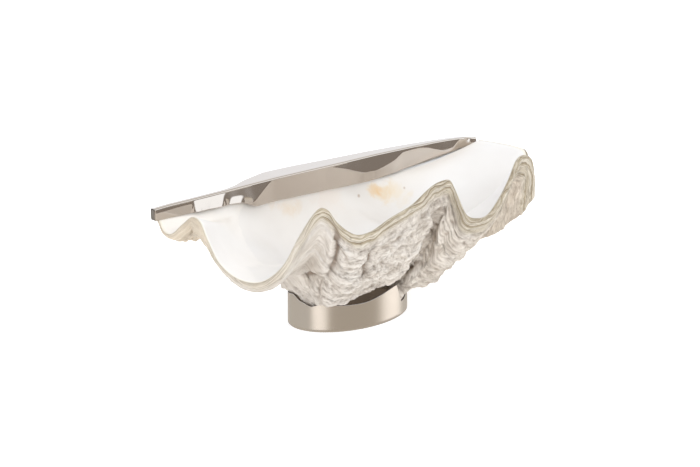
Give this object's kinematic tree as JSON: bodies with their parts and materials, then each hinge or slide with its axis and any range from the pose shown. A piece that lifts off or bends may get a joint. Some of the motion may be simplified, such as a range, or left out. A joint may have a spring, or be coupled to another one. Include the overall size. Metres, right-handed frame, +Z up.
{
  "type": "giant clam shell",
  "caption": "Giant clam valve lying hollow side up as a bowl, with a deeply folded margin, a folded metal cap along its straight hinge and an oval metal collar as its foot.",
  "frame": {"origin": "centre of the collar's flat foot, on the surface that it stands on", "axes": "+X along the hinge towards the long end of the valve, +Y towards the hinge, +Z up"},
  "size_m": [0.6181, 0.2929, 0.2115],
  "materials": {
    "shell": "porcelain-smooth inside, chalky and wrinkled outside",
    "hinge_cap": "polished nickel",
    "base": "satin nickel"
  },
  "bodies": {
    "root": {"shell": "shell", "hinge_cap": "hinge_cap", "base": "base"}
  },
  "joints": []
}
